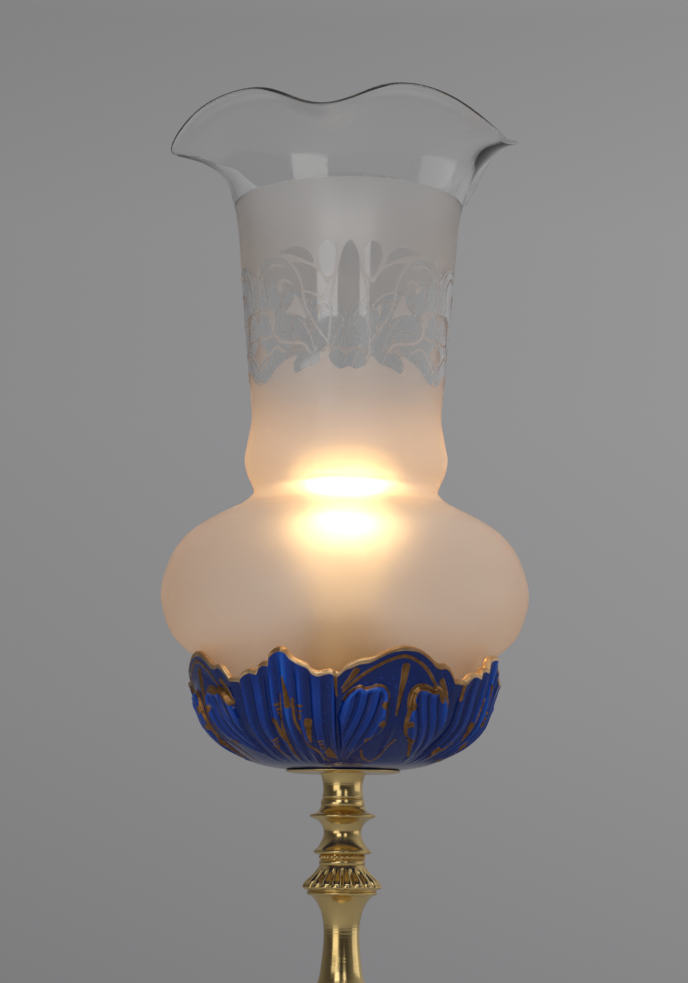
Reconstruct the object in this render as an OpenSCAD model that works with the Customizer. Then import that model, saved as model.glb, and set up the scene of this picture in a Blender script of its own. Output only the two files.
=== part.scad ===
// Table lamp: turned brass stem and foot, porcelain leaf bowl, blown glass shade with a crimped rim.
// Millimetres, +Z up. The origin is the centre of the felt under the foot, and the front looks along -Y.

/* [Foot] */
// Radius of the foot's lower band
foot_r = 72; // [70:0.5:76]
// Height of the foot's lower band
foot_band_h = 14; // [13:0.5:15]
// Height of the foot's flat shelf, where the switch sits
foot_shelf_z = 25; // [24.5:0.5:26]
// Height of the foot's top
foot_top_z = 58; // [56:0.5:60]
// Thickness of the felt
felt_t = 2; // [1:0.5:2]
// Radius of the bore in the cord gland
cord_bore_r = 3.6; // [3:0.1:4]

/* [Stem] */
// Height of the top of the drip pan above the table
pan_z = 262; // [255:1:280]
// Radius of the drip pan
pan_r = 26; // [24:0.5:30]
// Number of lobes round the gadroon collar
gadroons = 20; // [16:1:24]
// Number of beads in the beaded ring
beads = 26; // [20:1:30]

/* [Bowl] */
// Outer radius of the bowl at its leaf tips
bowl_r = 71.5; // [71:0.5:73]
// Height of the leaf tips above the drip pan
bowl_tip_h = 50; // [48:0.5:51]
// Height of the notches between the leaves above the drip pan
bowl_notch_h = 37.5; // [34:0.5:40]
// Thickness of the porcelain
bowl_wall = 2.6; // [2.3:0.1:2.7]

/* [Shade] */
// Outer radius of the straight collar at the foot of the shade
fitter_r = 50; // [49:0.5:50.5]
// Largest radius of the shade's bulge
bulge_r = 84; // [82:0.2:86]
// Outer radius of the narrowest part of the shade's neck
neck_r = 43.9; // [42:0.1:46]
// Height of the crests of the crimped rim above the drip pan
rim_crest_h = 299; // [290:1:305]
// Radius of the crimped rim at its crests
rim_r = 76.5; // [75:0.5:79]
// Drop of the rim at its front crimp
crimp_drop = 11.5; // [6:0.5:13]
// Outward push of the rim at its front crimp
crimp_out = 4; // [1:0.5:4.5]
// Thickness of the glass
glass_t = 2.2; // [1.8:0.1:2.4]

/* [Lampholder and bulb] */
// Height of the gallery plate above the drip pan
gallery_h = 20; // [19:0.5:21]
// Radius of the bulb's globe
bulb_r = 30; // [28:0.5:31]
// Length of the bulb from its contact to its crown
bulb_len = 105; // [102:1:108]

/* [Motion] */
// Travel of the push button
press_travel = 2.5; // [1:0.1:2.5]

/* [Hidden] */

$fn = 96;
// Threaded tube through the stem: outer radius, bore, and the clearance hole round it
tube_r = 5;
tube_bore_r = 3.9;
tube_hole_r = 5.15;
tube_z0 = 38;
// Bottom plate, weight and the pieces on it
plate_t = 1.5;
plate_r = foot_r - 3;
weight_z0 = felt_t + plate_t;
weight_r = 56;
weight_bore_r = 26;
screw_ring_r = 40;
switch_r = 54;
gland_z = 8.8;
// Stem levels, from the drip pan downward
collar_top = pan_z - 42.4;
collar_bottom = pan_z - 53.6;
baluster_top = pan_z - 54;
baluster_bottom = foot_top_z + 18;
// Lampholder levels
holder_z = pan_z + gallery_h + 1.2;
tip_z = pan_z + 44;
globe_z = tip_z + bulb_len - bulb_r;
shade_z = holder_z;
// The five crimps of the rim: [direction round the shade, drop and outward push as shares of the
// front crimp's, half width]. Direction 0 is the front, and + is to the right
CRIMPS = [[-90, 0.87, 1.85, 22], [-8, 1, 1, 16], [64, 1.22, 1.25, 23], [138, 1.7, 1, 15],
    [214, 1.3, 1, 18]];
shade_steps = 64;
bowl_steps = 80;

// Curves -----------------------------------------------------------------------------------------

// A point on the smooth curve from b to c, with a and d as the points either side
function curve(a, b, c, d, t) =
    0.5 * (2 * b + (c - a) * t + (2 * a - 5 * b + 4 * c - d) * t * t
        + (3 * b - a - 3 * c + d) * t * t * t);

// A smooth line through the points, with k steps between neighbours
function smooth(p, k) =
    let (n = len(p) - 1)
    concat([for (i = [0:n - 1]) for (j = [0:k - 1])
        curve(p[max(i - 1, 0)], p[i], p[i + 1], p[min(i + 2, n)], j / k)], [p[n]]);

// The same line moved sideways by d
function beside(p, d) =
    let (n = len(p) - 1)
    [for (i = [0:n]) let (
        t = p[min(i + 1, n)] - p[max(i - 1, 0)],
        u = t / norm(t))
        p[i] + d * [-u[1], u[0]]];

function backwards(p) = [for (i = [len(p) - 1:-1:0]) p[i]];

function ramp(x) = let (c = min(max(x, 0), 1)) c * c * (3 - 2 * c);

// The angle between two directions, from -180 to 180
function turn(a, b) = let (d = (a - b) % 360) d > 180 ? d - 360 : (d < -180 ? d + 360 : d);

// Solids ------------------------------------------------------------------------------------------

// A closed ring solid: rows[i] is the closed outline at step i round the axis
module ring_solid(rows) {
    n = len(rows);
    m = len(rows[0]);
    points = [for (r = rows) for (p = r) p];
    faces = [for (i = [0:n - 1]) for (j = [0:m - 1]) let (
        a = i * m + j,
        b = i * m + (j + 1) % m,
        c = ((i + 1) % n) * m + (j + 1) % m,
        d = ((i + 1) % n) * m + j)
        each [[a, b, c], [a, c, d]]];
    polyhedron(points, faces, convexity = 8);
}

// A round wire along a path in space, with flat ends
module wire(path, r, sides = 8) {
    n = len(path);
    tangents = [for (i = [0:n - 1])
        let (t = path[min(i + 1, n - 1)] - path[max(i - 1, 0)]) t / norm(t)];
    rings = [for (i = [0:n - 1]) let (
        t = tangents[i],
        s = abs(t[1]) > 0.9 ? [1, 0, 0] : [0, 1, 0],
        u = cross(s, t) / norm(cross(s, t)),
        v = cross(t, u))
        for (k = [0:sides - 1]) path[i] + r * (cos(360 * k / sides) * u + sin(360 * k / sides) * v)];
    walls = [for (i = [0:n - 2]) for (k = [0:sides - 1]) let (
        a = i * sides + k,
        b = i * sides + (k + 1) % sides)
        each [[a, a + sides, b], [b, a + sides, b + sides]]];
    polyhedron(rings, concat(walls, [[for (k = [0:sides - 1]) k]],
        [[for (k = [sides - 1:-1:0]) (n - 1) * sides + k]]));
}

// A turned piece from its outline
module turned(outline) {
    rotate_extrude() polygon(outline);
}

// A flat ring
module washer(r, hole, z, t) {
    translate([0, 0, z]) difference() {
        cylinder(r = r, h = t);
        translate([0, 0, -1]) cylinder(r = hole, h = t + 2);
    }
}

// A hexagon nut on the threaded tube
module hex_nut(across_corners_r, hole, z, t) {
    translate([0, 0, z]) difference() {
        cylinder(r = across_corners_r, h = t, $fn = 6);
        translate([0, 0, -1]) cylinder(r = hole, h = t + 2);
    }
}

// Foot --------------------------------------------------------------------------------------------

module felt_pad() {
    color("darkgreen") cylinder(r = plate_r, h = felt_t);
}

module bottom_plate() {
    color("dimgray") difference() {
        translate([0, 0, felt_t]) cylinder(r = plate_r, h = plate_t);
        for (a = [30, 150, 270]) rotate([0, 0, a]) translate([screw_ring_r, 0, felt_t - 0.01])
            cylinder(r1 = 3.6, r2 = 2.1, h = plate_t + 0.02);
    }
}

module plate_screws() {
    color("silver") for (a = [30, 150, 270]) rotate([0, 0, a]) translate([screw_ring_r, 0, felt_t]) {
        cylinder(r1 = 3.4, r2 = 1.9, h = plate_t);
        cylinder(r = 1.9, h = 12);
    }
}

module foot_weight() {
    color("darkslategray") difference() {
        translate([0, 0, weight_z0]) cylinder(r = weight_r, h = foot_shelf_z - 2 - weight_z0);
        translate([0, 0, weight_z0 - 1]) cylinder(r = weight_bore_r, h = 40);
        for (a = [30, 150, 270]) rotate([0, 0, a]) translate([screw_ring_r, 0, weight_z0 - 1])
            cylinder(r = 2, h = 14);
        // room for the switch, and the way in for the cord
        translate([switch_r - 10, -11, weight_z0 - 1]) cube([30, 22, 40]);
        translate([-7, 0, weight_z0 - 1]) cube([14, 80, 13]);
        // the way from the middle to the switch for its wires
        translate([0, -4, weight_z0 - 1]) cube([60, 8, 10]);
    }
}

// Outline of the foot's outer surface from the table edge to the top
function foot_outline() = concat(
    [[foot_r - 0.6, felt_t], [foot_r, felt_t + 1], [foot_r, foot_band_h - 1.5]],
    [for (a = [0:30:90]) [foot_r - 2 + 1.5 * cos(a), foot_band_h - 1.5 + 1.5 * sin(a)]],
    [for (a = [0:15:90]) [61.5 + 8 * cos(a), foot_band_h + (foot_shelf_z - foot_band_h) * sin(a)]],
    [[47, foot_shelf_z], [46.5, foot_shelf_z + 3.5], [44.5, foot_shelf_z + 4.5]],
    [for (a = [5:10:85]) [44.5 - 26.3 * sin(a), foot_top_z - 3 - 25.5 * cos(a)]],
    [[18.2, foot_top_z - 3], [18.2, foot_top_z - 1], [17, foot_top_z]]);

module foot() {
    color("goldenrod") difference() {
        turned(concat(foot_outline(), [[tube_hole_r, foot_top_z], [tube_hole_r, foot_top_z - 5],
            [14, foot_top_z - 5], [16, foot_top_z - 9], [22, foot_shelf_z + 9], [30, foot_shelf_z + 4],
            [41, foot_shelf_z + 1], [44, foot_shelf_z], [45, foot_shelf_z - 2], [60, foot_shelf_z - 2],
            [65, foot_shelf_z - 4.5], [foot_r - 4.8, foot_band_h + 1.2], [foot_r - 4.8, weight_z0 + 0.7],
            [foot_r - 2.4, weight_z0 + 0.3], [foot_r - 2.4, felt_t]]));
        translate([0, foot_r - 8, gland_z]) rotate([-90, 0, 0]) cylinder(r = 4.8, h = 12);
        translate([switch_r, 0, foot_shelf_z - 4]) cylinder(r = 5.2, h = 8);
    }
}

module cord_gland() {
    color("black") translate([0, 0, gland_z]) rotate([-90, 0, 0]) difference() {
        union() {
            translate([0, 0, foot_r - 10]) cylinder(r = 4.6, h = 12.5);
            translate([0, 0, foot_r]) cylinder(r1 = 5.5, r2 = 4.9, h = 2.5);
        }
        translate([0, 0, foot_r - 11]) cylinder(r = cord_bore_r, h = 15);
    }
}

module gland_nut() {
    color("black") translate([0, 0, gland_z]) rotate([-90, 0, 0]) difference() {
        translate([0, 0, foot_r - 8.6]) cylinder(r = 6, h = 3.2, $fn = 6);
        translate([0, 0, foot_r - 9.6]) cylinder(r = 4.7, h = 6);
    }
}

module terminal_block() {
    color("ivory") difference() {
        translate([-15, -9, weight_z0]) cube([30, 12, 9]);
        for (x = [-10, 0, 10]) {
            translate([x, -3, weight_z0 + 3]) cylinder(r = 2.2, h = 10);
            translate([x, -10, weight_z0 + 4.5]) rotate([-90, 0, 0]) cylinder(r = 1.6, h = 14);
        }
    }
}

module terminal_screws() {
    color("goldenrod") for (x = [-10, 0, 10]) translate([x, -3, weight_z0 + 6.4])
        cylinder(r = 1.9, h = 2.4);
}

module switch_body() {
    color("black") difference() {
        union() {
            translate([switch_r, 0, 7]) cylinder(r = 6.6, h = foot_shelf_z - 2.4 - 7);
            translate([switch_r, 0, 7]) cylinder(r = 5, h = foot_shelf_z - 7);
        }
        translate([switch_r, 0, 16]) cylinder(r = 4.2, h = 20);
    }
}

module switch_spring() {
    turns = 3;
    free = foot_shelf_z - 0.8 - press_travel - 16.2;
    color("silver") translate([switch_r, 0, 16.6])
        wire([for (a = [0:30:360 * turns]) [2.9 * cos(a), 2.9 * sin(a), (free - 1) * a / (360 * turns)]],
            0.35, 6);
}

module switch_button() {
    color("ivory") translate([switch_r, 0, 0]) {
        translate([0, 0, foot_shelf_z - 0.8]) cylinder(r = 3.9, h = 6.6);
        translate([0, 0, foot_shelf_z + 5.8]) cylinder(r1 = 3.9, r2 = 2.9, h = 0.9);
    }
}

module switch_bezel() {
    color("gold") translate([switch_r, 0, foot_shelf_z]) difference() {
        union() {
            cylinder(r = 6.4, h = 1.6);
            translate([0, 0, 1.6]) cylinder(r1 = 6.4, r2 = 5.2, h = 1.2);
        }
        translate([0, 0, -1]) cylinder(r = 4.2, h = 6);
    }
}

module tube_nut() {
    color("goldenrod") hex_nut(9, tube_r, foot_top_z - 12, 5);
}

module tube_washer() {
    color("silver") washer(12, tube_r, foot_top_z - 7, 2);
}

// Stem --------------------------------------------------------------------------------------------

module stem_tube() {
    color("silver") difference() {
        translate([0, 0, tube_z0]) cylinder(r = tube_r - 0.02, h = holder_z + 8 - tube_z0);
        translate([0, 0, tube_z0 - 1]) cylinder(r = tube_bore_r, h = holder_z + 20);
    }
}

module lower_knop() {
    z0 = foot_top_z;
    color("goldenrod") turned(concat([[tube_hole_r, z0], [15.5, z0], [16, z0 + 1], [13.5, z0 + 2.4]],
        [for (a = [-60:15:60]) [9.5 + 8.5 * cos(a), z0 + 8.5 + 5.6 * sin(a)]],
        [[11, z0 + 14.5], [11, z0 + 16], [12.5, z0 + 16.6], [12.5, z0 + 18], [tube_hole_r, z0 + 18]]));
}

// The baluster: a slim waist under the collar that swells and tapers again to the knop
module baluster() {
    z = baluster_bottom;
    swell = smooth([[9.2, z + 6], [11.2, z + 16], [17.2, z + 34], [20.2, z + 52], [18.4, z + 70],
        [13.6, baluster_top - 46], [10.5, baluster_top - 39.5], [8.8, baluster_top - 30],
        [8.1, baluster_top - 19.5], [8.6, baluster_top - 12.7], [9.6, baluster_top - 8.3],
        [12.1, baluster_top - 3.9]], 4);
    color("goldenrod") turned(concat([[tube_hole_r, z], [12.6, z], [13, z + 1.5], [12, z + 3],
        [9.6, z + 4]], swell, [[15.9, baluster_top - 0.8], [15.9, baluster_top],
        [tube_hole_r, baluster_top]]));
}

module gadroon_collar() {
    groove_tilt = atan2(17.2 - 10.6, 8.2);
    color("goldenrod") difference() {
        turned(concat([[tube_hole_r, collar_bottom - 0.4], [15.6, collar_bottom - 0.4]],
            [for (a = [-40:20:60]) [16.2 + 1.6 * cos(a), collar_bottom + 1.4 + 1.5 * sin(a)]],
            [[14.6, collar_top - 6.3], [12.5, collar_top - 4.1], [10.9, collar_top - 2.6],
            [10.2, collar_top - 1.4], [10.4, collar_top], [tube_hole_r, collar_top]]));
        for (i = [0:gadroons - 1]) rotate([0, 0, 360 * i / gadroons])
            translate([10.9, 0, collar_top - 2.0]) rotate([0, 180 - groove_tilt, 0])
                translate([0, 0, -1]) cylinder(r = 0.8, h = 12.5, $fn = 16);
    }
}

module beaded_ring() {
    z = pan_z - 38.8;
    color("goldenrod") {
        turned([[tube_hole_r, collar_top], [10.2, collar_top], [10.5, z - 2.5], [10.3, z - 1.6],
            [9.8, z - 1.2], [9.8, z + 1.2], [tube_hole_r, z + 1.2]]);
        for (i = [0:beads - 1]) rotate([0, 0, 360 * i / beads]) translate([9.7, 0, z])
            sphere(r = 1, $fn = 24);
    }
}

module upper_knop() {
    z = pan_z;
    color("goldenrod") turned([[tube_hole_r, z - 37.6], [11.6, z - 37.6], [13, z - 36.9],
        [13, z - 35.8], [12, z - 35], [10, z - 32], [8.8, z - 29.6], [8.5, z - 27.8], [8.8, z - 26],
        [10.4, z - 23.6], [12.4, z - 22.2], [14.4, z - 21.4], [14.9, z - 20.5], [14.6, z - 19.8],
        [12.6, z - 19.2], [10.4, z - 17.6], [9.9, z - 16.2], [tube_hole_r, z - 16.2]]);
}

module top_neck() {
    z = pan_z;
    color("goldenrod") turned([[tube_hole_r, z - 16.2], [9.9, z - 16.2], [9.7, z - 13.2],
        [9.1, z - 12.7], [9.1, z - 12.1], [9.4, z - 11.8], [8.9, z - 9], [9.1, z - 6], [9.8, z - 3],
        [10.7, z - 1.4], [tube_hole_r, z - 1.4]]);
}

module drip_pan() {
    z = pan_z;
    color("gold") turned([[tube_hole_r, z - 1.4], [14, z - 1.4], [24.6, z - 1.2], [pan_r, z - 0.6],
        [pan_r, z - 0.1], [25.6, z], [tube_hole_r, z]]);
}

// Bowl --------------------------------------------------------------------------------------------

// Outline of the bowl's outer wall, [radius, height above the pan], up to the leaf tips
BOWL_WALL = [[25, 0], [37.5, 2.2], [48, 6.5], [56.6, 11.6], [63, 18], [66.9, 27], [69.3, 36.1],
    [bowl_r - 0.8, 43], [bowl_r, bowl_tip_h]];

// Height of the rim in direction p. Smooth arched leaves alternate with stepped shell leaves
function bowl_rim(p) =
    let (
        arch = turn(p + 360 + 67.5, 90 * floor((p + 360 + 67.5) / 90 + 0.5)),
        shell = turn(p + 360 + 22.5, 90 * floor((p + 360 + 22.5) / 90 + 0.5)),
        rise = bowl_tip_h - bowl_notch_h)
    bowl_notch_h + rise * max(
        1 - pow(min(abs(arch) / 23.5, 1), 1.25),
        0.9 * exp(-pow(shell / 8.5, 2)) + 0.09 * max(0, cos(shell * 4)));

// The leaves swell between their creases
function leaf_swell(p) = 0.9 * abs(cos(4 * p)) - 0.5;

function bowl_section(p) =
    let (
        top = bowl_rim(p),
        full = smooth(BOWL_WALL, 2),
        wall = [for (q = full) let (h = q[1] * top / bowl_tip_h)
            [lookup(h, [for (w = full) [w[1], w[0]]]) + leaf_swell(p) * ramp(h / 20), h]],
        inner = [for (q = beside(wall, bowl_wall)) [q[0], max(q[1], 4.2)]],
        last = len(inner) - 1)
    concat([[tube_hole_r + 0.2, 1.2], [22, 1.2], [23, 0]], wall,
        [[(wall[last][0] + inner[last][0]) / 2, top + 1]],
        backwards([for (i = [3:last]) inner[i]]), [[24, 4.2], [tube_hole_r + 0.2, 4.2]]);

module bowl() {
    color("mediumblue") ring_solid([for (i = [0:bowl_steps - 1]) let (p = 360 * i / bowl_steps)
        [for (q = bowl_section(p)) [q[0] * sin(p), -q[0] * cos(p), pan_z + q[1]]]]);
}

module bowl_washer() {
    color("black") washer(14, tube_r, pan_z + 4.2, 1.5);
}

module bowl_nut() {
    color("goldenrod") hex_nut(9, tube_r, pan_z + 5.7, 4.5);
}

module riser_collar() {
    color("gold") washer(7.5, tube_r, pan_z + 10.2, gallery_h - 10.2);
}

// The gallery: a hub, three flat arms and a dished ring with an upturned rim
module gallery() {
    color("gold") translate([0, 0, pan_z + gallery_h]) difference() {
        union() {
            cylinder(r = 13, h = 1.2);
            for (a = [30, 150, 270]) rotate([0, 0, a]) translate([0, -5, 0]) cube([44, 10, 1.2]);
            washer(54, 41, 0, 1.2);
            washer(54.2, 53, 0, 8);
        }
        translate([0, 0, -1]) cylinder(r = tube_r, h = 4);
    }
}

// Lampholder --------------------------------------------------------------------------------------

module lampholder_cap() {
    z = holder_z;
    color("gold") turned([[tube_r, z], [9, z], [11, z + 3], [15, z + 8], [18.6, z + 12],
        [19.4, z + 15], [18.2, z + 15], [17.4, z + 12.6], [14.2, z + 9.2], [10, z + 4.4], [8.2, z + 1.4],
        [7, z + 1.4], [7, z + 8], [tube_r, z + 8]]);
}

module lampholder_insulator() {
    z = holder_z + 15;
    color("white") difference() {
        turned([[0, z + 0.2], [17.6, z + 0.2], [17.6, z + 26], [15, z + 26], [15, z + 4.5],
            [0, z + 4.5]]);
        for (x = [-4, 4]) translate([x, 0, z - 1]) cylinder(r = 1.4, h = 10);
    }
}

module lampholder_shell() {
    z = holder_z + 15;
    color("gold") turned([[17.8, z], [19.4, z], [19.4, z + 8], [19, z + 8.4], [19, z + 28],
        [15.6, z + 28], [15.6, z + 26.6], [17.8, z + 26.6]]);
}

module lampholder_ring() {
    z = holder_z + 24;
    color("gold") turned([[19.2, z], [22.4, z], [22.9, z + 0.6], [22.9, z + 4.4], [22.4, z + 5],
        [19.2, z + 5]]);
}

// Rounded thread rings, from radius r, between two heights
function thread_rings(r, depth, z0, z1) =
    let (pitch = 3.62, n = floor((z1 - z0) / pitch))
    [for (i = [0:n * 8]) [r - depth * (1 - cos(360 * i / 8)) / 2, z0 + pitch * i / 8]];

module screw_shell() {
    z = tip_z + 5.5;
    color("goldenrod") turned(concat(thread_rings(14.3, 0.5, z, z + 18.5),
        backwards([for (q = thread_rings(14.3, 0.5, z, z + 18.5)) q - [0.6, 0]])));
}

module centre_contact() {
    z = holder_z + 19.5;
    color("gold") {
        translate([-3, -2.5, z]) cube([6, 5, 0.6]);
        translate([0, 0, z]) cylinder(r = 2.4, h = tip_z - z - 0.2);
    }
}

module live_wire() {
    color("brown") wire(smooth([[10, 4, 8], [10, 6, 8.2], [8, 10, 12], [4, 8, 20], [1.9, 1.5, 30],
        [1.9, 0, 40], [1.9, 0, 110], [1.9, 0, 190], [1.9, 0, holder_z + 6], [2.4, 0, holder_z + 10],
        [4, 0, holder_z + 13], [4, 0, holder_z + 17]], 3), 1);
}

module neutral_wire() {
    color("blue") wire(smooth([[-10, 4, 8], [-10, 6, 8.2], [-8, 10, 12], [-4, 8, 20], [-1.9, 1.5, 30],
        [-1.9, 0, 40], [-1.9, 0, 110], [-1.9, 0, 190], [-1.9, 0, holder_z + 6],
        [-2.4, 0, holder_z + 10], [-4, 0, holder_z + 13], [-4, 0, holder_z + 17]], 3), 1);
}

module earth_wire() {
    color("limegreen") wire(smooth([[0, 4, 8], [0, 7, 8.4], [0, 11, 14], [0, 9, 24], [0, 4, 32],
        [0, 2.2, 40], [0, 2.2, 110], [0, 2.2, 190], [0, 2.2, holder_z + 8], [0, 5, holder_z + 10.4],
        [0, 9.4, holder_z + 12.2]], 3), 1);
}

// Two leads from the terminal block to the switch
module switch_wires() {
    color("brown") for (y = [-1.6, 1.6])
        wire(smooth([[15.2, y, 6.2], [22, y, 6.4], [30, y, 6.4], [38, y, 6.6], [44, y, 8.6],
            [switch_r - 7.4, y, 11]], 4), 0.9);
}

// Bulb --------------------------------------------------------------------------------------------

module bulb_glass() {
    neck = smooth([[11.8, tip_z + 24], [12.2, tip_z + 27.4], [13.8, tip_z + 31], [17, tip_z + 36.4],
        [21.6, globe_z - 21]], 4);
    skin = concat(neck, [for (a = [-36:12:84]) [bulb_r * cos(a), globe_z + bulb_r * sin(a)]],
        [[0.8, globe_z + bulb_r]]);
    color("white") turned(concat(skin, backwards(beside(skin, 1))));
}

module bulb_cap() {
    color("silver") turned(concat([[11.6, tip_z + 5.6]],
        [for (q = thread_rings(13.05, 0.6, tip_z + 6, tip_z + 21)) q],
        [[13.05, tip_z + 22], [13.2, tip_z + 26.5], [12.9, tip_z + 27.2], [12.7, tip_z + 23.8],
        [11.9, tip_z + 23.4], [11.9, tip_z + 6.4], [11.6, tip_z + 5.9]]));
}

module bulb_insulator() {
    color("black") turned([[4.6, tip_z + 1.4], [11.5, tip_z + 5.4], [11.5, tip_z + 6.8],
        [4.6, tip_z + 3.6]]);
}

module bulb_contact() {
    color("silver") turned([[0, tip_z], [2.6, tip_z], [4.4, tip_z + 1.2], [4.4, tip_z + 2.6],
        [0, tip_z + 2.6]]);
}

module bulb_stem() {
    color("white") turned([[0, tip_z + 24], [9, tip_z + 24], [5.4, tip_z + 29], [3, tip_z + 34],
        [2.4, globe_z - 14], [0, globe_z - 14]]);
}

// The filament hangs in a wide arc between two lead wires
module filament() {
    color("gray") {
        wire([for (a = [-130:10:130]) [13 * sin(a), -13 * cos(a), globe_z + 2]], 0.5, 6);
        for (s = [-1, 1]) wire([[s * 1.2, 0.4, globe_z - 13.6], [s * 1.8, 1, globe_z - 11],
            [s * 5, 4.4, globe_z - 4], [s * 13 * sin(130), -13 * cos(130), globe_z + 1.8]], 0.35, 6);
    }
}

// Shade -------------------------------------------------------------------------------------------

// Outline of the outer wall, [radius, height above the pan], in three stretches
SHADE_BODY = [[fitter_r, shade_z - pan_z], [fitter_r, 33], [56, 39.5], [66.2, 49.4], [71.6, 53.6],
    [77, 58.6], [82, 68.2], [bulge_r, 79], [81.7, 90.6], [77.8, 99], [71.9, 106.2], [63.3, 112.3],
    [55, 116.7], [48.3, 120.2], [44.3, 123.4]];
SHADE_NECK = [[44.3, 123.4], [42.3, 126.5], [43.3, 130], [45.4, 134.6], [46.8, 141.1], [45.6, 149.4],
    [neck_r, 160.8], [44.4, 170.2], [45.9, 184.4], [48.4, 212], [50.3, 237.8], [51.6, 251.3],
    [53.2, 261.4]];
SHADE_FLARE = [[53.2, 261.4], [55.2, 268], [57.6, 275], [61.4, 282.5], [67.2, 290],
    [rim_r, rim_crest_h]];

function shade_skin() = concat(SHADE_BODY, [for (i = [1:len(SHADE_NECK) - 1]) SHADE_NECK[i]],
    [for (i = [1:len(SHADE_FLARE) - 1]) SHADE_FLARE[i]]);

// A sum over the crimps in direction p of their share in column k
function sum(v, i = 0) = i < len(v) ? v[i] + sum(v, i + 1) : 0;
function crimp(p, k) = sum([for (c = CRIMPS) c[k] * exp(-pow(turn(p, c[0]) / c[3], 2))]);

function crimped(q, p) =
    let (u = pow(max(0, (q[1] - 272) / (rim_crest_h - 272)), 2))
    [q[0] + crimp_out * u * crimp(p, 2), q[1] - crimp_drop * u * crimp(p, 1)];

module shade() {
    outer = shade_skin();
    inner = backwards(beside(outer, glass_t));
    bead = [[rim_r - 0.4, rim_crest_h + 0.9], [rim_r - 1.4, rim_crest_h + 1.2]];
    base = [[fitter_r - glass_t, shade_z - pan_z]];
    loop = concat(outer, bead, [for (i = [0:len(inner) - 2]) inner[i]], base);
    color("lightyellow") ring_solid([for (i = [0:shade_steps - 1]) let (p = 360 * i / shade_steps)
        [for (q = loop) let (c = crimped(q, p)) [c[0] * sin(p), -c[0] * cos(p), pan_z + c[1]]]]);
}

felt_pad();
bottom_plate();
plate_screws();
foot_weight();
foot();
cord_gland();
gland_nut();
terminal_block();
terminal_screws();
switch_body();
switch_spring();
switch_button();
switch_bezel();
tube_nut();
tube_washer();
stem_tube();
lower_knop();
baluster();
gadroon_collar();
beaded_ring();
upper_knop();
top_neck();
drip_pan();
bowl();
bowl_washer();
bowl_nut();
riser_collar();
gallery();
lampholder_cap();
lampholder_insulator();
lampholder_shell();
lampholder_ring();
screw_shell();
centre_contact();
live_wire();
neutral_wire();
earth_wire();
switch_wires();
bulb_glass();
bulb_cap();
bulb_insulator();
bulb_contact();
bulb_stem();
filament();
shade();
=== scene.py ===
"""Table lamp with a gilt cobalt bowl and an etched glass shade: the looks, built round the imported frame."""
import math

import bpy
import numpy as np
from mathutils import Matrix, Vector


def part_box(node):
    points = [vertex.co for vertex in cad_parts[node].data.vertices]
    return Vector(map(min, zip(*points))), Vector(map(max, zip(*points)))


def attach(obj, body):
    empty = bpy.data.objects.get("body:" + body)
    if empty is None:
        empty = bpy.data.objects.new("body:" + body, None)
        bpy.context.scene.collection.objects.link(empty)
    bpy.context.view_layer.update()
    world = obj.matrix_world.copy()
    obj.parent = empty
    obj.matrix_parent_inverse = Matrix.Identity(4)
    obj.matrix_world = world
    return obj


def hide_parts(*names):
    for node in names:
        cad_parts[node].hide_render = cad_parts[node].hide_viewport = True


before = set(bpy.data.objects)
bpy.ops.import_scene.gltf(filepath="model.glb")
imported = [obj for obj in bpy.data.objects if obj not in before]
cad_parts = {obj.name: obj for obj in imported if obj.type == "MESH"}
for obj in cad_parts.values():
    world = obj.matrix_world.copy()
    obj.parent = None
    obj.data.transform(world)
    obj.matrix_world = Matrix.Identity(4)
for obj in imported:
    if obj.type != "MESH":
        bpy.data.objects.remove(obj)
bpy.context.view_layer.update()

MM = 0.001
PAN_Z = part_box("drip_pan")[1][2]
FOOT_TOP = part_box("foot")[1][2]


# ---------------------------------------------------------------- camera, light and surroundings

CAMERA_DISTANCE = 1.047
CAMERA_DROP = 0.032
CAMERA_PITCH = math.radians(8.66)
CAMERA_YAW = math.radians(0.045)
CAMERA_ROLL = math.radians(0.56)
SENSOR_HEIGHT = 24.0
FOCAL_LENGTH = 56.15
LIGHT_DISTANCE = 1.5
LOW_LIGHTS, HIGH_LIGHTS = 0.25, 0.78
FLOOR_REACH = 1.9
# brightness of the backdrop from below the lamp to above it
BACKGROUND_LEVELS = ((0.275, 0.232), (0.36, 0.257), (0.48, 0.279), (0.56, 0.278), (0.645, 0.245), (0.74,
                                                                                                   0.32))


def rotation(axis, angle):
    """A 3 by 3 rotation about x, y or z."""
    c, s = math.cos(angle), math.sin(angle)
    i, j = {"x": (1, 2), "y": (2, 0), "z": (0, 1)}[axis]
    m = np.eye(3)
    m[i, i] = m[j, j] = c
    m[i, j], m[j, i] = -s, s
    return m


def add_object(name, data):
    obj = bpy.data.objects.new(name, data)
    bpy.context.scene.collection.objects.link(obj)
    return obj


def make_camera():
    data = bpy.data.cameras.new("camera")
    data.sensor_fit = "VERTICAL"
    data.sensor_height = SENSOR_HEIGHT
    data.lens = FOCAL_LENGTH
    data.clip_start = 0.05
    camera = add_object("camera", data)
    turn = rotation("z", CAMERA_YAW) @ rotation("x", math.pi / 2 + CAMERA_PITCH) @ rotation("z", CAMERA_ROLL)
    place = np.eye(4)
    place[:3, :3] = turn
    place[:3, 3] = (0.0, -CAMERA_DISTANCE, PAN_Z - CAMERA_DROP)
    camera.matrix_world = Matrix(place.tolist())
    bpy.context.scene.camera = camera


def aim_at(obj, target):
    away = Vector(target) - obj.location
    obj.rotation_euler = away.to_track_quat("-Z", "Y").to_euler()


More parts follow.
